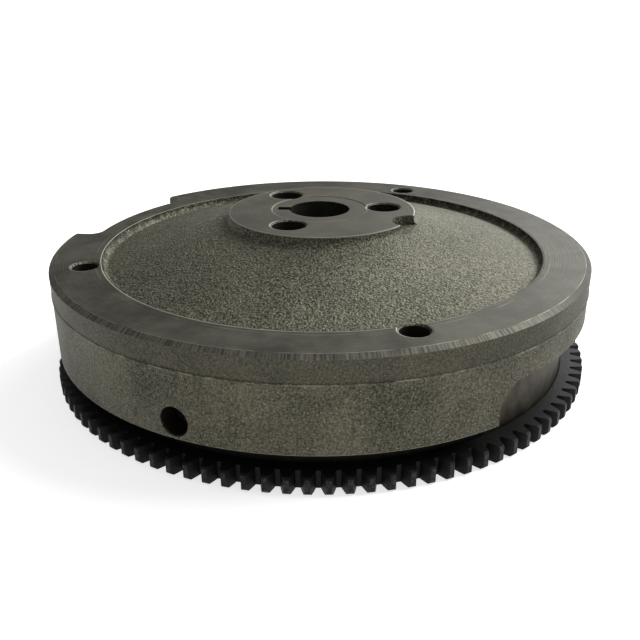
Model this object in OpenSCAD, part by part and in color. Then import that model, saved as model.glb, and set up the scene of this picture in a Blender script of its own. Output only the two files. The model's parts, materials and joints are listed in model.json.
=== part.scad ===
// Flywheel of a small engine: iron casting, starter ring gear and an alternator magnet ring.
// The origin is on the turning axis, in the plane of the engine-side face. +Z points away from the engine.
// Angles are measured about +Z from +X.

/* [Ring gear] */
// Number of starter teeth
gear_teeth = 102; // [90:1:122]
// Tooth module
gear_module = 2.5; // [2:0.05:3]
// Thickness of the ring gear along the axis
gear_face = 7.8; // [6:0.1:12]
// Wall of the ring gear between its bore and the tooth roots
gear_wall = 5; // [4:0.1:8]
// Chamfer on the tooth tips, outer side
tip_chamfer_top = 0.8; // [0.3:0.1:1.2]
// Chamfer on the tooth tips, engine side
tip_chamfer_bottom = 1.3; // [0.3:0.1:2]
// Angle of the first tooth
gear_turn = -0.5; // [-1.7:0.1:1.7]

/* [Rim] */
// Height of the machined rim land above the engine-side face
rim_height = 56.85; // [55:0.05:70]
// Clear gap between the ring gear and the skirt above it
skirt_gap = 8.45; // [3:0.05:10]
// Radial step from the ring gear's seat out to the skirt
skirt_step = 8.7; // [5:0.1:11]
// Wall of the rim between the magnets and the ring gear's seat
rim_wall = 22.3; // [18:0.1:30]
// Draft of the skirt, from its lower edge in to the parting line
skirt_draft = 0.2; // [0.1:0.1:1.5]
// Depth of the mould parting line below the rim land
parting_drop = 11.3; // [6:0.1:16]
// How far the trimmed parting flash stands proud
flash = 0.35; // [0.1:0.05:0.6]
// Width of the machined rim land
land_width = 20.55; // [16:0.05:24]
// Draft of the band above the parting line, outwards to its upper edge
band_draft = 0.1; // [0:0.1:1.8]
// Chamfer at the land's outer edge, measured inwards
land_chamfer = 2.55; // [1:0.05:3]
// Chamfer at the land's outer edge, measured down the rim
land_chamfer_drop = 1.45; // [1:0.05:3]

/* [Rim holes] */
// Radius of the holes in the rim land
rim_hole_r = 5.75; // [4:0.05:6]
// Depth of the holes in the rim land
rim_hole_depth = 24; // [14:0.5:28]
// Metal between the rim holes and the land's inner edge
rim_hole_wall = 1.45; // [0:0.05:3]
// Chamfer at the mouths of the rim holes
rim_hole_chamfer = 0.9; // [0.3:0.1:1.5]
// Wall of the cast lugs that back the rim holes where they reach into the recess
rim_lug_wall = 2.6; // [2:0.1:5]
// Depth of the lugs' tops below the land
rim_lug_sink = 0.3; // [0.2:0.05:1]

/* [Rim cut-outs] */
// Angle covered by the scallop in the outer edge of the land
scallop_span = 38; // [20:1:50]
// How far the scallop cuts in from the land's outer edge
scallop_cut = 11.8; // [6:0.1:13]
// Depth of the scallop below the land
scallop_depth = 24; // [10:0.5:26]
// Radius in the inner corners of the scallop
scallop_fillet = 6.5; // [3:0.1:8]
// Angle covered by the pocket in the skirt
pocket_span = 61; // [30:1:80]
// Height of the pocket above the skirt's lower edge
pocket_height = 18; // [12:0.1:20]
// Radius in the pocket's upper corners, at its floor
pocket_fillet = 5; // [3:0.1:8]
// Slope of the pocket's walls, out per unit of depth
pocket_slope = 0.85; // [0.3:0.05:0.9]
// Radius of the balance hole drilled into the skirt
balance_r = 6.25; // [3:0.05:6.5]
// Depth of the balance hole
balance_depth = 15; // [6:0.5:17]
// Metal between the balance hole and the skirt's lower edge
balance_wall = 1.35; // [0.5:0.05:12]

/* [Web and hub] */
// Depth of the cast recess below the rim land
recess_depth = 4; // [2:0.1:8]
// Thickness of the conical web
web_thickness = 9.5; // [7:0.1:14]
// Fillet where the web runs into the rim and the hub, underneath
web_fillet = 6; // [3:0.5:9]
// Height of the hub pad above the rim land
hub_rise = 16.7; // [10:0.05:22]
// Length of the hub from its pad to its engine-side end
hub_length = 60; // [40:0.5:66]
// Metal between the hub holes and the edge of the pad
pad_margin = 5.65; // [2:0.05:9]
// Height of the rough cast side of the pad
pad_side = 4.6; // [3:0.1:7]
// Metal between the hub holes and the side of the boss
boss_margin = 4.25; // [2:0.05:8]
// Offset of the cast upper surfaces from the turning axis, X
core_shift_x = 1.1; // [-2:0.1:2]
// Offset of the cast upper surfaces from the turning axis, Y
core_shift_y = -2.5; // [-3:0.1:3]

/* [Crankshaft fit] */
// Radius of the tapered bore at the hub pad
bore_small_r = 14.5; // [12:0.1:16]
// Diameter change of the taper per unit of length
taper = 0.1; // [0.05:0.01:0.14]
// Width of the keyway
key_w = 5; // [4:0.1:8]
// Keyway wall, distance from the axis
key_reach = 20.3; // [18:0.1:22]
// Gap between the hub holes and the faced seat for the crankshaft nut's washer
washer_seat_gap = 0.25; // [0.1:0.05:3]
// Depth of the washer seat
washer_seat_depth = 0.3; // [0.1:0.1:1]

/* [Hub holes] */
// Number of holes through the hub
hub_hole_count = 3; // [2:1:4]
// Radius of the holes through the hub
hub_hole_r = 7.75; // [4:0.05:9.5]
// Radius of the circle that the hub holes lie on
hub_hole_circle_r = 31.1; // [30:0.1:38]
// Chamfer at the mouths of the hub holes
hub_hole_chamfer = 0.8; // [0.2:0.1:1.2]
// Radius of the half-round notch in the edge of the pad
notch_r = 9.3; // [5:0.1:10]

/* [Magnet ring] */
// Number of magnets
magnet_count = 12; // [8:2:16]
// Radial thickness of a magnet
magnet_t = 8; // [6:0.1:10]
// Length of a magnet along the axis
magnet_h = 24; // [16:0.5:29]
// Part of each pole pitch that the magnet covers
magnet_cover = 0.82; // [0.6:0.01:0.88]
// Thickness of the cage's end ring, and of its lips over the magnets' inner edges
cage_t = 2; // [1:0.1:3]
// Thickness of the steel retaining ring
ring_t = 1.6; // [1:0.1:2.5]
// Radial step cut in the rim for the retaining ring
ring_step = 10; // [9:0.1:12]
// Clearance round the retaining ring
ring_gap = 0.4; // [0.2:0.1:1]

/* [Retaining screws] */
// Depth of the screw heads below the engine-side face
head_recess = 3.2; // [1:0.1:8]
// Number of screws
screw_count = 6; // [4:1:8]
// Radius of a screw's thread
screw_r = 2.5; // [2:0.25:3]
// Radius of a screw's head
screw_head_r = 4.25; // [3.5:0.05:4.5]
// Height of a screw's head
screw_head_h = 2.8; // [2:0.1:3]
// Length of thread in the casting
screw_grip = 11; // [6:0.5:14]
// Distance across the flats of the driver socket
socket_af = 3; // [2:0.5:3]
// Depth of the driver socket
socket_depth = 1.6; // [1:0.1:1.8]

/* [Hidden] */
$fn = 96;
over = 1; // how far a cutter runs past the face that it opens

// The hub holes, the rim holes and the cut-outs share one plane of symmetry.
sym_angle = 243;
rim_hole_angles = [sym_angle - 45, sym_angle + 45, sym_angle + 180];
scallop_angle = sym_angle - 89;
pocket_angle = sym_angle + 90;
key_angle = sym_angle - 67.5;
balance_angle = sym_angle + 1.5;
notch_angle = 332;

// Ring gear radii
pitch_r = gear_module * gear_teeth / 2;
tip_r = pitch_r + gear_module;
root_r = pitch_r - 1.25 * gear_module;
seat_r = root_r - gear_wall;
pressure_angle = 20;
base_r = pitch_r * cos(pressure_angle);
bore_chamfer = 0.5;

// Rim radii and heights
skirt_r = seat_r + skirt_step;
parting_r = skirt_r - skirt_draft;
band_r = parting_r + band_draft;
land_r = band_r - land_chamfer;
recess_r = land_r - land_width;
rim_bore_r = seat_r - rim_wall;
rim_hole_circle_r = recess_r + rim_hole_wall + rim_hole_r;
skirt_z = gear_face + skirt_gap;
parting_z = rim_height - parting_drop;
edge_break = 0.4;
mouth_break = 0.3;

// Magnet ring, from the retaining ring upwards
ring_z = head_recess + screw_head_h;
magnet_z = ring_z + ring_t;
cage_z = magnet_z + magnet_h;
magnet_stop_z = cage_z + cage_t;
magnet_ledge = 3; // ledge that the cage's end ring rests against
stop_r = rim_bore_r - magnet_ledge;
magnet_in_r = rim_bore_r - magnet_t;
magnet_pitch = 360 / magnet_count;
magnet_span = magnet_pitch * magnet_cover;
magnet_edge = 0.7;
magnet_gap = 0.15;
cage_in_r = magnet_in_r - cage_t;
cage_lip = 2.5;
ring_out_r = rim_bore_r + ring_step;
screw_circle_r = rim_bore_r + ring_step / 2;
screw_hole_gap = 0.3;
drill_spare = 2;
screw_turn = magnet_pitch / 2;

// Web and hub. The web's upper surface is a cone through web_in and web_out, as [radius, height],
// which lie a little outside the pad and a little inside the land.
hub_top = rim_height + hub_rise;
hub_bottom = hub_top - hub_length;
bore_large_r = bore_small_r + taper / 2 * hub_length;
pad_r = hub_hole_circle_r + hub_hole_r + pad_margin;
boss_r = hub_hole_circle_r + hub_hole_r + boss_margin;
washer_seat_r = hub_hole_circle_r - hub_hole_r - washer_seat_gap;
core_shift = [core_shift_x, core_shift_y];
web_in_gap = 3;
web_out_gap = 1;
web_in = [pad_r + web_in_gap, hub_top - pad_side];
web_out = [recess_r - web_out_gap, rim_height - recess_depth];
web_slope = (web_in.y - web_out.y) / (web_out.x - web_in.x);
web_stretch = sqrt(1 + web_slope * web_slope);
pad_fillet = 2.5;
recess_fillet = min(2.5, 0.6 * recess_depth);
boss_chamfer = 1;
step_inset = 6; // the blank steps up to the hub inside the recess, clear of the core's shift
blank_step_r = recess_r - step_inset;
notch_out = 3.5; // the notch's centre lies outside the pad
notch_rise = 0.3; // the notch stops a little above the web
notch_floor = hub_top - pad_side + notch_rise;

IRON = [0.33, 0.32, 0.29];
GEAR_STEEL = [0.10, 0.10, 0.10];
FERRITE = [0.17, 0.17, 0.18];
NYLON = [0.09, 0.09, 0.10];
ZINC = [0.62, 0.62, 0.58];

// A point at a radius and an angle
function at(r, a) = r * [cos(a), sin(a)];

// Points of an arc about a centre
function arc(c, r, from, to, steps = 6) =
    [for (i = [0 : steps]) c + at(r, from + (to - from) * i / steps)];

// Heights of the web's upper and lower surfaces at a radius
function web_top(r) = web_out.y + web_slope * (web_out.x - r);
function web_under(r) = web_top(r) - web_thickness * web_stretch;

// Fillets between the sloping web and an upright wall. A fillet lies on the outer side of its wall
// when side is 1 and on the inner side when side is -1, and runs outwards along the web.
function under_fillet(wall_r, f, side) =
    let (r = wall_r + side * f)
    let (tangent = 90 - atan(web_slope))
    arc([r, web_under(r) - f * web_stretch], f, side > 0 ? 180 : tangent, side > 0 ? tangent : 0);
function top_fillet(wall_r, f, side) =
    let (r = wall_r + side * f)
    let (tangent = 270 - atan(web_slope))
    arc([r, web_top(r) + f * web_stretch], f, side > 0 ? 180 : tangent, side > 0 ? tangent : 360);

// Part of a turned ring, centred on an angle, standing on the base plane
module sector(r_in, r_out, h, angle, span) {
    rotate(angle - span / 2)
        rotate_extrude(angle = span)
            translate([r_in, 0])
                square([r_out - r_in, h]);
}

// Plain ring standing on the base plane
module sleeve(r_in, r_out, h) {
    rotate_extrude()
        translate([r_in, 0])
            square([r_out - r_in, h]);
}

// The casting's turned outline, before the upper recess is taken out
module turned_blank() {
    rotate_extrude()
        polygon(concat(
            [
                [0, hub_top],
                [0, hub_bottom],
                [boss_r - boss_chamfer, hub_bottom],
                [boss_r, hub_bottom + boss_chamfer]
            ],
            under_fillet(boss_r, web_fillet, 1),
            under_fillet(stop_r, web_fillet, -1),
            [
                [stop_r, magnet_stop_z],
                [rim_bore_r, magnet_stop_z],
                [rim_bore_r, magnet_z],
                [ring_out_r + ring_gap, magnet_z],
                [ring_out_r + ring_gap, 0],
                [seat_r - bore_chamfer, 0],
                [seat_r, bore_chamfer],
                [seat_r, skirt_z],
                [skirt_r - edge_break, skirt_z],
                [skirt_r, skirt_z + edge_break],
                [parting_r, parting_z - 2 * flash],
                [parting_r + flash, parting_z],
                [parting_r, parting_z + 2 * flash],
                [band_r, rim_height - land_chamfer_drop],
                [land_r, rim_height],
                [blank_step_r, rim_height],
                [blank_step_r, hub_top]
            ]
        ));
}

// Space above the conical web, between the pad and the rim land, as the shifted mould left it.
// Lugs stand in it behind the rim holes.
module recess_space() {
    difference() {
        translate(core_shift)
            rotate_extrude()
                polygon(concat(
                    [[pad_r, hub_top + over]],
                    top_fillet(pad_r, pad_fillet, 1),
                    top_fillet(recess_r, recess_fillet, -1),
                    [[recess_r, hub_top + over]]
                ));
        for (a = rim_hole_angles)
            translate(at(rim_hole_circle_r, a))
                cylinder(r = rim_hole_r + rim_lug_wall, h = rim_height - rim_lug_sink);
    }
}

// Half-round notch in the edge of the pad
module pad_notch() {
    translate(at(pad_r + notch_out, notch_angle))
        translate([0, 0, notch_floor])
            cylinder(r = notch_r, h = hub_top - notch_floor + over);
}

// Tapered bore, keyway and washer seat
module crank_bore() {
    run = taper / 2 * over;
    translate([0, 0, hub_bottom - over])
        cylinder(r1 = bore_large_r + run, r2 = bore_small_r - run, h = hub_length + 2 * over);
    rotate(key_angle)
        translate([0, -key_w / 2, hub_bottom - over])
            cube([key_reach, key_w, hub_length + 2 * over]);
    translate([0, 0, hub_top - washer_seat_depth])
        cylinder(r = washer_seat_r, h = washer_seat_depth + over);
}

// A hole drilled down from a face, with a chamfered mouth. A blind hole ends in a drill point.
module drilled_down(r, depth, chamfer, blind = true) {
    translate([0, 0, -depth])
        cylinder(r = r, h = depth + over);
    translate([0, 0, -chamfer])
        cylinder(r1 = r, r2 = r + chamfer + over, h = chamfer + over);
    if (blind)
        translate([0, 0, -depth - r / 2])
            cylinder(r1 = 0, r2 = r, h = r / 2);
}

module hub_holes() {
    for (i = [0 : hub_hole_count - 1])
        translate(at(hub_hole_circle_r, sym_angle + 360 / hub_hole_count * i))
            translate([0, 0, hub_top])
                drilled_down(hub_hole_r, hub_length + over, hub_hole_chamfer, blind = false);
}

module rim_holes() {
    for (a = rim_hole_angles)
        translate(at(rim_hole_circle_r, a))
            translate([0, 0, rim_height])
                drilled_down(rim_hole_r, rim_hole_depth, rim_hole_chamfer);
}

// Scallop in the outer edge of the land, with round inner corners
module scallop() {
    floor_r = land_r - scallop_cut;
    corner_r = floor_r + scallop_fillet;
    corner_angle = asin(scallop_fillet / corner_r);
    h = scallop_depth + over;
    translate([0, 0, rim_height - scallop_depth]) {
        sector(corner_r, tip_r, h, scallop_angle, scallop_span);
        sector(floor_r, tip_r, h, scallop_angle, scallop_span - 2 * corner_angle);
        for (side = [-1, 1])
            translate(at(corner_r, scallop_angle + side * (scallop_span / 2 - corner_angle)))
                cylinder(r = scallop_fillet, h = h);
    }
}

// Upper outline of the skirt pocket at a radius, as [angle, height], with corners of a given radius
function pocket_outline(r, corner_r, corner_z, half) = concat(
    [for (t = [0 : 15 : 90]) [-half - asin(corner_r * cos(t) / r), corner_z + corner_r * sin(t)]],
    [for (i = [1 : 11]) [half * (i / 6 - 1), corner_z + corner_r]],
    [for (t = [90 : -15 : 0]) [half + asin(corner_r * cos(t) / r), corner_z + corner_r * sin(t)]]
);

// Pocket in the skirt, open downwards, with the seat's cylinder as its floor. Its cast walls slope outwards.
module skirt_pocket() {
    in_r = seat_r - over;
    out_r = skirt_r + over;
    open_r = pocket_fillet + pocket_slope * skirt_step;
    corner_z = skirt_z + pocket_height - open_r;
    half = pocket_span / 2 - asin(open_r / skirt_r);
    inner = pocket_outline(in_r, pocket_fillet - pocket_slope * over, corner_z, half);
    outer = pocket_outline(out_r, open_r + pocket_slope * over, corner_z, half);
    count = len(inner);
    rows = [
        for (p = inner) concat(at(in_r, p[0]), skirt_z - over),
        for (p = inner) concat(at(in_r, p[0]), p[1]),
        for (p = outer) concat(at(out_r, p[0]), p[1]),
        for (p = outer) concat(at(out_r, p[0]), skirt_z - over)
    ];
    difference() {
        rotate(pocket_angle)
            polyhedron(points = rows, faces = concat(
                [for (row = [0 : 3], i = [0 : count - 2])
                    [row * count + i, row * count + i + 1,
                        (row + 1) % 4 * count + i + 1, (row + 1) % 4 * count + i]],
                [[0, count, 2 * count, 3 * count]],
                [[4 * count - 1, 3 * count - 1, 2 * count - 1, count - 1]]
            ));
        cylinder(r = seat_r, h = rim_height);
    }
}

// Balance hole drilled radially into the skirt
module balance_hole() {
    rotate(balance_angle)
        translate([skirt_r, 0, skirt_z + balance_wall + balance_r])
            rotate([0, 90, 0])
                drilled_down(balance_r, balance_depth, mouth_break);
}

// Drilled holes for the retaining screws, up into the rim
module screw_holes() {
    for (i = [1 : screw_count])
        rotate(screw_angle(i))
            translate([screw_circle_r, 0, magnet_z])
                mirror([0, 0, 1])
                    drilled_down(screw_r, screw_grip + drill_spare, mouth_break);
}

module flywheel_casting() {
    color(IRON)
        difference() {
            turned_blank();
            recess_space();
            pad_notch();
            crank_bore();
            hub_holes();
            rim_holes();
            scallop();
            skirt_pocket();
            balance_hole();
            screw_holes();
        }
}

// Angle of an involute at a radius, and half the angle that a tooth covers there
function involute(r) = let (roll = sqrt(r * r / (base_r * base_r) - 1)) roll * 180 / PI - atan(roll);
function tooth_half(r) = 90 / gear_teeth + involute(pitch_r) - involute(r);

// Starter ring gear, shrunk onto its seat. The teeth are cut square and chamfered at both ends.
module ring_gear() {
    flank = [for (i = [0 : 4]) root_r + (tip_r - root_r) * i / 4];
    tooth = concat(
        [for (i = [0 : 4]) at(flank[i], -tooth_half(flank[i]))],
        [for (i = [4 : -1 : 0]) at(flank[i], tooth_half(flank[i]))]
    );
    color(GEAR_STEEL)
        intersection() {
            rotate_extrude()
                polygon([
                    [seat_r, bore_chamfer],
                    [seat_r + bore_chamfer, 0],
                    [tip_r - tip_chamfer_bottom, 0],
                    [tip_r, tip_chamfer_bottom],
                    [tip_r, gear_face - tip_chamfer_top],
                    [tip_r - tip_chamfer_top, gear_face],
                    [seat_r + bore_chamfer, gear_face],
                    [seat_r, gear_face - bore_chamfer]
                ]);
            rotate(gear_turn)
                translate([0, 0, -over])
                    linear_extrude(gear_face + 2 * over)
                        polygon([
                            for (i = [0 : gear_teeth - 1], p = tooth)
                                let (a = 360 / gear_teeth * i)
                                [p.x * cos(a) - p.y * sin(a), p.x * sin(a) + p.y * cos(a)]
                        ]);
        }
}

// Angles of a magnet and of a screw, by number
function magnet_angle(i) = magnet_pitch * (i - 1);
function screw_angle(i) = screw_turn + 360 / screw_count * (i - 1);

// Ferrite arc magnet, bonded to the bore of the rim
module magnet(i) {
    color(FERRITE)
        translate([0, 0, magnet_z])
            rotate(magnet_angle(i) - magnet_span / 2)
                rotate_extrude(angle = magnet_span)
                    polygon([
                        [magnet_in_r + magnet_edge, 0],
                        [rim_bore_r, 0],
                        [rim_bore_r, magnet_h],
                        [magnet_in_r + magnet_edge, magnet_h],
                        [magnet_in_r, magnet_h - magnet_edge],
                        [magnet_in_r, magnet_edge]
                    ]);
}

// Moulded cage: a ring with a window for each magnet. Its lips lie over the edges of the magnets' inner faces.
module magnet_cage() {
    gap_angle = 2 * asin(magnet_gap / magnet_in_r);
    lip_angle = 2 * asin(cage_lip / magnet_in_r);
    color(NYLON)
        translate([0, 0, magnet_z])
            difference() {
                sleeve(cage_in_r, rim_bore_r, magnet_h + cage_t);
                for (i = [1 : magnet_count])
                    translate([0, 0, -over]) {
                        sector(magnet_in_r - magnet_gap, rim_bore_r + over, magnet_h + over,
                            magnet_angle(i), magnet_span + gap_angle);
                        sector(cage_in_r - over, magnet_in_r + over, magnet_h + over - cage_lip,
                            magnet_angle(i), magnet_span - lip_angle);
                    }
            }
}

// Pressed steel ring that closes the magnets in
module retaining_ring() {
    color(ZINC)
        translate([0, 0, ring_z])
            difference() {
                sleeve(cage_in_r, ring_out_r, ring_t);
                for (i = [1 : screw_count])
                    rotate(screw_angle(i))
                        translate([screw_circle_r, 0, -over])
                            cylinder(r = screw_r + screw_hole_gap, h = ring_t + 2 * over);
            }
}

// Button-head screw with a hexagon socket, its head towards the engine
module retaining_screw(i) {
    color(ZINC)
        rotate(screw_angle(i))
            translate([screw_circle_r, 0, ring_z])
                difference() {
                    union() {
                        cylinder(r = screw_r, h = ring_t + screw_grip);
                        mirror([0, 0, 1])
                            rotate_extrude()
                                polygon([
                                    [0, 0],
                                    [screw_head_r, 0],
                                    [screw_head_r, 0.3 * screw_head_h],
                                    [0.86 * screw_head_r, 0.75 * screw_head_h],
                                    [0.6 * screw_head_r, screw_head_h],
                                    [0, screw_head_h]
                                ]);
                    }
                    translate([0, 0, -screw_head_h - over])
                        cylinder(r = socket_af / sqrt(3), h = socket_depth + over, $fn = 6);
                }
}

flywheel_casting();
ring_gear();
magnet_cage();
retaining_ring();
for (i = [1 : magnet_count])
    magnet(i);
for (i = [1 : screw_count])
    retaining_screw(i);
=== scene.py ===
"""Flywheel of a small engine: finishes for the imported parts, with a studio floor, lights and camera."""

import json
import math

import bpy
from mathutils import Matrix, Vector


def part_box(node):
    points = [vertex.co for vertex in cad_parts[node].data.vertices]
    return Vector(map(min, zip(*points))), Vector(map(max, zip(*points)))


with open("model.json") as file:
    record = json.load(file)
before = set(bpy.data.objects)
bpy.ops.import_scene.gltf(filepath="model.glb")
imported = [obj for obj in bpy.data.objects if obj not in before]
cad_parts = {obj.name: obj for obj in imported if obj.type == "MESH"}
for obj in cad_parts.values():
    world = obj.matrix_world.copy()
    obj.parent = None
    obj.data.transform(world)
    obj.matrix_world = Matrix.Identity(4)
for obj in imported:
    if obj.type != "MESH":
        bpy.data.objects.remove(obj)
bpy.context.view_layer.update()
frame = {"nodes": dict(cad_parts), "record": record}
bpy.ops.object.select_all(action="DESELECT")


# ---------------------------------------------------------------------------------------------
# Flywheel casting: one grey-iron sand casting. The mould leaves a grainy skin on the skirt, the
# web and the hub's side. The pad, the rim land, the bores and the ring gear's seat are turned or
# drilled afterwards, so they are smoother. Their edges are painted bright: partly bare metal where
# the cutter broke out, partly painted highlight.
# ---------------------------------------------------------------------------------------------
mounts = {mount["name"]: mount for mount in frame["record"]["mounts"]}
casting_low, casting_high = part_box("flywheel_casting")
land_z = mounts["rim_land"]["pos_m"][2]
washer_z = mounts["nut_seat"]["pos_m"][2]
hub_top = casting_high.z
band_r = -casting_low.x
parting_r = band_r - 0.0001
parting_z = land_z - 0.0113
skirt_z = 0.01625
land_r = band_r - 0.00255
land_chamfer_drop = 0.00145
recess_r = land_r - 0.02055
core_shift = (0.0011, -0.0025)
ring_seat_r = parting_r - 0.0085
pocket_top = skirt_z + 0.018
pad_r = 0.0445
washer_r = 0.0231
boss_end_z = mounts["crank_taper"]["pos_m"][2]
pocket_angle = math.radians(333)
pocket_half_angle = math.radians(30)
pocket_edge_angle = math.radians(1)
key_reach = 0.0204
magnet_bore_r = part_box("magnet_cage")[1].x
magnet_stop_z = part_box("magnet_cage")[1].z
rim_holes = [mounts[f"rim_hole_{number}"] for number in (1, 2, 3)]
rim_hole_r = rim_holes[0]["dims"]["r_mm"] / 1000
rim_hole_chamfer = 0.0009
hub_hole_r = mounts["hub_bolts"]["dims"]["hole_r_mm"] / 1000
hub_hole_circle_r = mounts["hub_bolts"]["dims"]["pcd_mm"] / 2000
hub_hole_chamfer = 0.0008
hub_hole_angles = [math.radians(angle) for angle in (3, 123, 243)]


class Field:
    """A number, colour or vector that varies over a surface. Arithmetic on numbers adds Math nodes."""

    def __init__(self, tree, socket=None):
        self.tree = tree
        self.socket = socket

    def node(self, kind, settings=None, inputs=None, output=0):
        """Adds any node, with its settings first and then its inputs' values or links."""
        made = self.tree.nodes.new(kind)
        for name, value in (settings or {}).items():
            if name == "stops":
                ramp = made.color_ramp
                while len(ramp.elements) < len(value):
                    ramp.elements.new(0.5)
                for element, (place, colour) in zip(ramp.elements, value):
                    element.position = place
                    element.color = (*colour, 1)
            else:
                setattr(made, name, value)
        for name, value in (inputs or {}).items():
            if isinstance(value, Field):
                self.tree.links.new(value.socket, made.inputs[name])
            else:
                made.inputs[name].default_value = value
        return Field(self.tree, made.outputs[output])

    def math(self, operation, *values):
        return self.node("ShaderNodeMath", {"operation": operation}, dict(enumerate(values)))

    def __add__(self, other):
        return self.math("ADD", self, other)

    def __sub__(self, other):
        return self.math("SUBTRACT", self, other)

    def __rsub__(self, other):
        return self.math("SUBTRACT", other, self)

    def __mul__(self, other):
        return self.math("MULTIPLY", self, other)

    def __truediv__(self, other):
        return self.math("DIVIDE", self, other)

    def __pow__(self, other):
        return self.math("POWER", self, other)

    def __abs__(self):
        return self.math("ABSOLUTE", self)

    __radd__ = __add__
    __rmul__ = __mul__

    def rise(self, start, end):
        """0 below start and 1 above end, with a smooth step between."""
        return self.node(
            "ShaderNodeMapRange",
            {"interpolation_type": "SMOOTHSTEP"},
            {"Value": self, "From Min": start, "From Max": end},
        )

    def fall(self, start, end):
        return 1 - self.rise(start, end)

    def line(self, centre, half_width):
        """1 at the centre value, falling to 0 half a width away."""
        return abs(self - centre).fall(0, half_width)

    def either(self, *others):
        found = self
        for other in others:
            found = found.math("MAXIMUM", found, other)
        return found

    def mix(self, low, high):
        """A colour between two colours, by this number."""
        colours = {
            name: value if isinstance(value, Field) else (*value, 1)
            for name, value in ((6, low), (7, high))
        }
        return self.node(
            "ShaderNodeMix", {"data_type": "RGBA", "blend_type": "MIX"}, {0: self, **colours}, 2
        )

    def noise(self, size, detail=2.0, roughness=0.5):
        """Soft noise from 0 to 1 at this place, with features of about the given size in metres."""
        return self.node(
            "ShaderNodeTexNoise",
            {"noise_dimensions": "3D"},
            {"Vector": self, "Scale": 1 / size, "Detail": detail, "Roughness": roughness},
        )

    def cells(self, size, jitter=1.0):
        """Distance to the nearest of scattered grains, in grain sizes."""
        return self.node(
            "ShaderNodeTexVoronoi",
            {"voronoi_dimensions": "3D", "feature": "F1"},
            {"Vector": self, "Scale": 1 / size, "Randomness": jitter},
            "Distance",
        )


def start_material(name):
    """A new material: its shader, and the place on the piece that its patterns are worked out from."""
    material = bpy.data.materials.new(name)
    material.use_nodes = True
    shader = material.node_tree.nodes["Principled BSDF"]
    place = Field(material.node_tree).node("ShaderNodeTexCoord", output="Object")
    return material, shader, place


def connect(shader, place, colour, roughness, height, **constants):
    """Feeds a shader its varying colour, roughness and bump height in metres, and its constants."""
    links = place.tree.links
    links.new(colour.socket, shader.inputs["Base Color"])
    links.new(roughness.socket, shader.inputs["Roughness"])
    bump = place.node("ShaderNodeBump", inputs={"Height": height, "Strength": 1.0, "Distance": 1.0})
    links.new(bump.socket, shader.inputs["Normal"])
    for name, value in constants.items():
        shader.inputs[name].default_value = value


def axes_of(place):
    return [place.node("ShaderNodeSeparateXYZ", inputs={0: place}, output=axis) for axis in (0, 1, 2)]


def distance_from(x, y, centre):
    """Distance of a place from an upright line."""
    return ((x - centre[0]) ** 2 + (y - centre[1]) ** 2) ** 0.5


def nearest(x, y, centres):
    found = distance_from(x, y, centres[0])
    for centre in centres[1:]:
        found = found.math("MINIMUM", found, distance_from(x, y, centre))
    return found


iron, iron_shader, place = start_material("grey_iron")
x, y, z = axes_of(place)
radius = distance_from(x, y, (0, 0))
core_radius = distance_from(x, y, core_shift)
from_rim_hole = nearest(x, y, [hole["pos_m"] for hole in rim_holes])
from_hub_hole = nearest(
    x, y, [(hub_hole_circle_r * math.cos(a), hub_hole_circle_r * math.sin(a)) for a in hub_hole_angles]
)
# Each face is told from its neighbours by steps about a hair wide
hair = 0.00005
land = z.rise(land_z - 2 * hair, land_z - hair) * core_radius.rise(recess_r - 2 * hair, recess_r - hair)
pad = z.rise(washer_z - 2 * hair, washer_z - hair)
rim_bore_top = land_z - rim_hole_chamfer
rim_bore = from_rim_hole.fall(rim_hole_r + hair, rim_hole_r + 2 * hair)
rim_bore = rim_bore * z.fall(rim_bore_top, rim_bore_top + 2 * hair)
hub_bore_top = hub_top - hub_hole_chamfer
hub_bore = from_hub_hole.fall(hub_hole_r + hair, hub_hole_r + 2 * hair)
hub_bore = hub_bore * z.fall(hub_bore_top, hub_bore_top + 2 * hair)
crank_bore = radius.fall(key_reach, key_reach + hair) * z.fall(washer_z - 2 * hair, washer_z - hair)
chamfer_low = land_z - land_chamfer_drop
land_chamfer = radius.rise(land_r - hair, land_r) * z.rise(chamfer_low - hair, chamfer_low)
seat_band = radius.rise(ring_seat_r - 0.002, ring_seat_r - 0.001) * z.fall(pocket_top, pocket_top + hair)
seat = seat_band * radius.fall(ring_seat_r + hair, ring_seat_r + 2 * hair)
rim_bottom = z.fall(skirt_z + hair, skirt_z + 2 * hair)
rim_bottom = rim_bottom * radius.rise(magnet_bore_r - 0.004, magnet_bore_r - 0.003)
magnet_wall = radius.rise(magnet_bore_r - 0.0035, magnet_bore_r - 0.0032)
magnet_wall = magnet_wall * radius.fall(magnet_bore_r + hair, magnet_bore_r + 2 * hair)
magnet_bore = magnet_wall * z.fall(magnet_stop_z + hair, magnet_stop_z + 2 * hair)
boss_end = z.fall(boss_end_z + hair, boss_end_z + 2 * hair)
bores = crank_bore.either(hub_bore, rim_bore)
turned = land.either(pad, land_chamfer, seat, rim_bottom, magnet_bore, boss_end, bores)
outside = radius.rise(ring_seat_r - 0.001, ring_seat_r)

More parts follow.
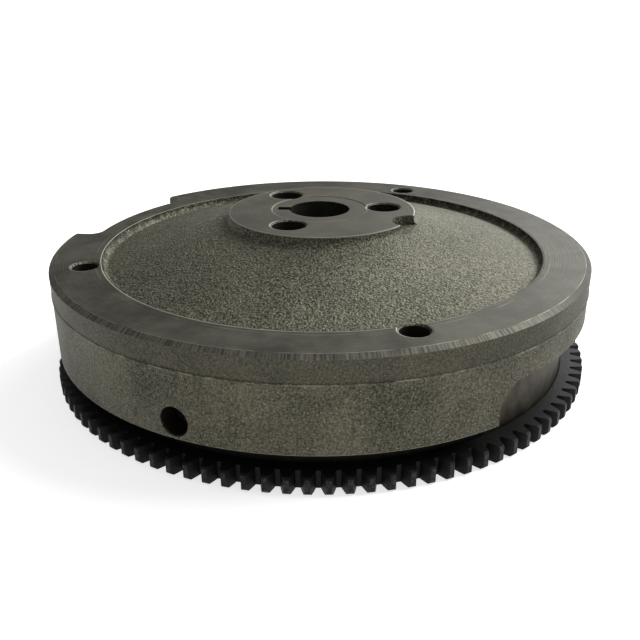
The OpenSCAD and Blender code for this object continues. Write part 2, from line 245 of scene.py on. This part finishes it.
# As cast: sand grain under a dark skin, finer on the outside of the rim than on the web
patches = place.noise(0.028, 3, 0.55)
lumps = place.noise(0.0042, 2)
web_grain = place.noise(0.0010, 2, 0.7)
skirt_grain = place.noise(0.0009, 2, 0.7)
sand = place.cells(0.0010)
skirt_sand = place.cells(0.0008)
hollows = sand.rise(0.45, 0.75) * lumps.rise(0.3, 0.6)
pits = place.cells(0.0085).fall(0.10, 0.2) * (1 - outside)
wall_low = land_z - 0.0035
recess_wall = core_radius.rise(recess_r - 0.0022, recess_r - 0.0008) * z.rise(wall_low - 0.001, wall_low)
recess_wall = recess_wall * (1 - outside)
web_height = 0.00025 * lumps + 0.0006 * web_grain - 0.0002 * sand
skirt_height = 0.0001 * lumps + 0.0002 * skirt_grain - 0.0001 * skirt_sand
cast_height = outside * skirt_height + (1 - outside) * web_height
cast_height = cast_height - 0.0002 * pits + 0.0006 * recess_wall * lumps
web_tone = web_grain.rise(0.34, 0.66) * 0.6 + lumps.rise(0.3, 0.7) * 0.25
web_tone = web_tone + patches.rise(0.3, 0.7) * 0.15
web_colour = web_tone.mix((0.030, 0.030, 0.021), (0.290, 0.282, 0.205))
web_colour = (hollows * 0.7).mix(web_colour, (0.010, 0.010, 0.007))
skirt_tone = skirt_grain.rise(0.36, 0.64) * 0.45 + patches.rise(0.3, 0.7) * 0.3
skirt_tone = skirt_tone + skirt_sand.fall(0.2, 0.6) * 0.25
skirt_colour = skirt_tone.mix((0.012, 0.0115, 0.007), (0.170, 0.161, 0.112))
cast_colour = outside.mix(web_colour, skirt_colour)
# Painted glints: bright specks of colour where the sand grains catch the light, fewer on the outside of
# the rim
painted_glints = place.cells(0.0015).fall(0.10, 0.26)
cast_colour = (painted_glints * (0.6 - 0.3 * outside)).mix(cast_colour, (0.44, 0.42, 0.33))
# Painted shade: the step wall round the recess is painted dark, broken up by the lumps
cast_colour = (recess_wall * (0.75 - 0.75 * lumps.rise(0.42, 0.58))).mix(cast_colour, (0.04, 0.038, 0.03))
band = z.rise(parting_z, parting_z + 0.0006) * outside
cast_colour = (band * 0.45).mix(cast_colour, (0.040, 0.037, 0.027))
# Painted highlights: a broken bright line along the raised flash at the parting line, and one along the
# skirt's lower edge
flash_line_highlight = z.line(parting_z, 0.00045) * outside * place.noise(0.007, 3, 0.7).rise(0.45, 0.6)
# Painted shade: the scallop's wall under the skirt is painted near black
pocket_wall_shade = outside * radius.fall(parting_r - 0.0012, parting_r - 0.0006)
pocket_wall_shade = pocket_wall_shade * z.fall(pocket_top, pocket_top + hair)
cast_colour = (pocket_wall_shade * 0.9).mix(cast_colour, (0.012, 0.011, 0.008))
painted_low_edge_highlight = z.fall(skirt_z + 0.0003, skirt_z + 0.0006) * outside
cast_colour = (flash_line_highlight.either(painted_low_edge_highlight) * 0.55).mix(cast_colour, (0.36, 0.345, 0.28))

# Turned faces: fine rings from the tool, stained in patches, with edges that the cutter left soft
turning = radius.node(
    "ShaderNodeTexNoise", {"noise_dimensions": "1D"}, {"W": radius, "Scale": 1700.0, "Detail": 3.0}
)
stains = place.noise(0.016, 4, 0.62)
turned_tone = stains.rise(0.3, 0.7) * 0.65 + turning.rise(0.3, 0.7) * 0.2
turned_tone = turned_tone + place.noise(0.0014, 3, 0.7) * 0.15
turned_colour = turned_tone.mix((0.046, 0.044, 0.033), (0.145, 0.139, 0.106))
# The pad is painted lighter than the other turned faces: partly its fresher facing, partly painted sheen
# for the light its turning rings catch
turned_colour = (pad * 0.25).mix(turned_colour, (0.26, 0.25, 0.20))
around = x.math("ARCTAN2", y, x) * land_r
chatter = around.node(
    "ShaderNodeTexNoise", {"noise_dimensions": "1D"}, {"W": around, "Scale": 900.0, "Detail": 1.0}
)
chatter_tone = chatter.rise(0.35, 0.65) * 0.6 + place.noise(0.008, 3, 0.6).rise(0.35, 0.65) * 0.4
chamfer_colour = chatter_tone.mix((0.055, 0.053, 0.041), (0.185, 0.178, 0.143))
# Painted shade: the chamfer is painted darker towards +x, on the side the key lamp lights most
chamfer_colour = (x.rise(0.07, 0.115) * 0.85).mix(chamfer_colour, (0.035, 0.033, 0.026))
turned_colour = land_chamfer.mix(turned_colour, chamfer_colour)
from_recess = core_radius - recess_r
tool_mark = from_recess.line(0.0028, 0.0003) * place.noise(0.02, 2).rise(0.4, 0.6)
rim_mouth = from_rim_hole - (rim_hole_r + rim_hole_chamfer)
hub_mouth = from_hub_hole - (hub_hole_r + hub_hole_chamfer)
# Bright edges on the land, the pad, the hole mouths and a tool ring: partly bare rubbed metal, partly
# painted highlight
worn_and_highlit_edges = from_recess.line(0.0002, 0.00035).either(tool_mark * 0.5, rim_mouth.line(0, 0.0003)) * land
worn_and_highlit_edges = worn_and_highlit_edges.either((land_r - radius).line(0.0001, 0.0003) * land * place.noise(0.009, 2).rise(0.35, 0.6))
pad_edge = (pad_r - core_radius).line(0.0002, 0.0004)
worn_and_highlit_edges = worn_and_highlit_edges.either(pad_edge.either(radius.line(washer_r, 0.0003), hub_mouth.line(0, 0.0003)) * pad)
turned_colour = (worn_and_highlit_edges * 0.7).mix(turned_colour, (0.60, 0.58, 0.48))
# The bores are painted dark: partly oil in them, partly painted shade down the holes
bore_oil_and_shade = place.noise(0.004, 3).mix((0.022, 0.021, 0.017), (0.05, 0.048, 0.039))
turned_colour = bores.mix(turned_colour, bore_oil_and_shade)
facing_pocket = (x * math.cos(pocket_angle) + y * math.sin(pocket_angle)) / radius
in_pocket = facing_pocket.rise(
    math.cos(pocket_half_angle + pocket_edge_angle), math.cos(pocket_half_angle - pocket_edge_angle)
)
seat_colour_and_gap_shade = place.noise(0.006, 3).rise(0.3, 0.7).mix((0.018, 0.014, 0.009), (0.052, 0.042, 0.027))
# Painted shade: outside the pocket the seat lies in the gap under the skirt and is painted near black; in
# the pocket it keeps its brown
seat_colour_and_gap_shade = in_pocket.mix((0.012, 0.011, 0.009), seat_colour_and_gap_shade)
turned_colour = seat.mix(turned_colour, seat_colour_and_gap_shade)


def rounding(distance, width, slope):
    """Height of a face that bends down to a slope within a width of its edge."""
    return (-slope / (2 * width)) * ((width - distance).either(0) ** 2)


edges = (rounding(from_recess, 0.0008, 0.7) + rounding(rim_mouth, 0.0006, 0.6)) * land
edges = edges + (rounding(pad_r - core_radius, 0.0007, 0.6) + rounding(hub_mouth, 0.0006, 0.6)) * pad
edges = edges + rounding(abs(radius - washer_r), 0.0006, 0.3) * pad
turned_height = 0.0001 * turning * (1 - land_chamfer) + 0.00003 * place.noise(0.0011, 2)
turned_height = turned_height + 0.00012 * place.noise(0.02, 2) + edges
turned_height = turned_height + 0.00007 * chatter * land_chamfer

colour = turned.mix(cast_colour, turned_colour)
turned_roughness = 0.46 + 0.14 * stains + 0.08 * land_chamfer
roughness = turned * turned_roughness + (1 - turned) * 0.62
height = turned * turned_height + (1 - turned) * cast_height
connect(iron_shader, place, colour, roughness, height, Metallic=0.7)
frame["nodes"]["flywheel_casting"].material_slots[0].material = iron


# ---------------------------------------------------------------------------------------------
# Ring gear: a steel ring, hobbed, induction hardened and blacked, shrunk onto its seat under the
# skirt. The black has rubbed grey on the corners of the teeth.
# ---------------------------------------------------------------------------------------------
gear_tip_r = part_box("ring_gear")[1].x
gear_steel, gear_shader, place = start_material("blacked_gear_steel")
x, y, z = axes_of(place)
radius = distance_from(x, y, (0, 0))
scale_marks = place.noise(0.0012, 3, 0.6)
rub = radius.rise(gear_tip_r - 0.0004, gear_tip_r - 0.0001) * scale_marks.rise(0.45, 0.7)
gear_colour = place.noise(0.006, 3).mix((0.004, 0.004, 0.004), (0.012, 0.0115, 0.011))
gear_colour = (rub * 0.6).mix(gear_colour, (0.075, 0.073, 0.068))
rust = place.noise(0.004, 4, 0.7).rise(0.68, 0.75)
gear_colour = (rust * 0.6).mix(gear_colour, (0.08, 0.04, 0.022))
gear_roughness = 0.4 + 0.2 * scale_marks
connect(
    gear_shader, place, gear_colour, gear_roughness, 0.00012 * scale_marks,
    **{"Metallic": 0.0, "Specular IOR Level": 0.15},
)
frame["nodes"]["ring_gear"].material_slots[0].material = gear_steel


# ---------------------------------------------------------------------------------------------
# Magnets: twelve sintered ferrite arcs, ground on their faces and bonded into the rim's bore.
# ---------------------------------------------------------------------------------------------
ferrite, ferrite_shader, place = start_material("sintered_ferrite")
grains = place.noise(0.0006, 3, 0.6)
chips = place.cells(0.006).rise(0.62, 0.75)
ferrite_colour = grains.mix((0.030, 0.030, 0.033), (0.060, 0.060, 0.064))
ferrite_height = 0.00006 * grains + 0.0001 * chips
connect(ferrite_shader, place, ferrite_colour, 0.5 + 0.2 * grains, ferrite_height, Metallic=0.1)
for number in range(1, 13):
    frame["nodes"][f"magnet_{number}"].material_slots[0].material = ferrite


# ---------------------------------------------------------------------------------------------
# Magnet cage: black glass-filled nylon, moulded in one piece. Fibres show as a faint grain.
# ---------------------------------------------------------------------------------------------
nylon, nylon_shader, place = start_material("black_glass_filled_nylon")
fibres = place.noise(0.0009, 4, 0.7)
nylon_colour = fibres.mix((0.012, 0.012, 0.013), (0.026, 0.026, 0.028))
connect(nylon_shader, place, nylon_colour, 0.38 + 0.2 * fibres, 0.00003 * fibres, Metallic=0.0)
frame["nodes"]["magnet_cage"].material_slots[0].material = nylon


# ---------------------------------------------------------------------------------------------
# Retaining ring and its screws: pressed and headed steel, zinc plated, with a faint spangle.
# ---------------------------------------------------------------------------------------------
zinc, zinc_shader, place = start_material("zinc_plated_steel")
spangle = place.cells(0.0035)
smears = place.noise(0.02, 4, 0.6)
zinc_colour = (spangle * 0.5 + smears * 0.5).mix((0.40, 0.40, 0.38), (0.62, 0.62, 0.59))
connect(zinc_shader, place, zinc_colour, 0.28 + 0.25 * smears, 0.00002 * spangle, Metallic=1.0)
for name in ["retaining_ring"] + [f"retaining_screw_{number}" for number in range(1, 7)]:
    frame["nodes"][name].material_slots[0].material = zinc


# ---------------------------------------------------------------------------------------------
# Studio: a white table lit a little from below, a soft white room, a wide lamp from the right, a
# lower one from behind on the right, and a very soft one overhead.
# ---------------------------------------------------------------------------------------------
floor_size = 60
bpy.ops.mesh.primitive_plane_add(size=floor_size)
floor = bpy.context.object
floor.name = "studio_floor"
table, table_shader, place = start_material("lit_white_table")
table_shader.inputs["Base Color"].default_value = (0.9, 0.9, 0.9, 1)
table_shader.inputs["Roughness"].default_value = 0.9
table_shader.inputs["Emission Color"].default_value = (1, 1, 1, 1)
table_shader.inputs["Emission Strength"].default_value = 0.68
floor.data.materials.append(table)

room = bpy.data.worlds.new("white_room")
room.use_nodes = True
room.node_tree.nodes["Background"].inputs["Color"].default_value = (1, 1, 1, 1)
room.node_tree.nodes["Background"].inputs["Strength"].default_value = 0.18
bpy.context.scene.world = room


def wide_lamp(name, direction, spread, strength):
    """A lamp so far off that it lights everything evenly, from a direction and over a spread."""
    bpy.ops.object.light_add(type="SUN", location=direction)
    lamp = bpy.context.object
    lamp.name = name
    lamp.data.angle = math.radians(spread)
    lamp.data.energy = strength
    lamp.rotation_euler = Vector(direction).to_track_quat("Z", "Y").to_euler()


wide_lamp("key_lamp", (0.72, 0.28, 0.62), 40, 2.7)
wide_lamp("back_lamp", (0.50, 0.86, 0.42), 34, 0.95)
wide_lamp("overhead_lamp", (0.3, 0.1, 1.0), 120, 0.4)

# Camera at the height and distance that fit the rim's circles
camera_data = bpy.data.cameras.new("camera")
camera_data.sensor_width = 36
camera_data.lens = 43.16
camera_data.clip_start = 0.01
camera = bpy.data.objects.new("camera", camera_data)
bpy.context.scene.collection.objects.link(camera)
camera_place = Vector((0, -0.36295, land_z + 0.11694))
pitch, yaw, roll = 0.4141, -0.0005, -0.0063
camera.matrix_world = (
    Matrix.Translation(camera_place)
    @ Matrix.Rotation(-yaw, 4, "Z")
    @ Matrix.Rotation(math.pi / 2 - pitch, 4, "X")
    @ Matrix.Rotation(roll, 4, "Z")
)
bpy.context.scene.camera = camera
bpy.context.scene.view_settings.view_transform = "Standard"
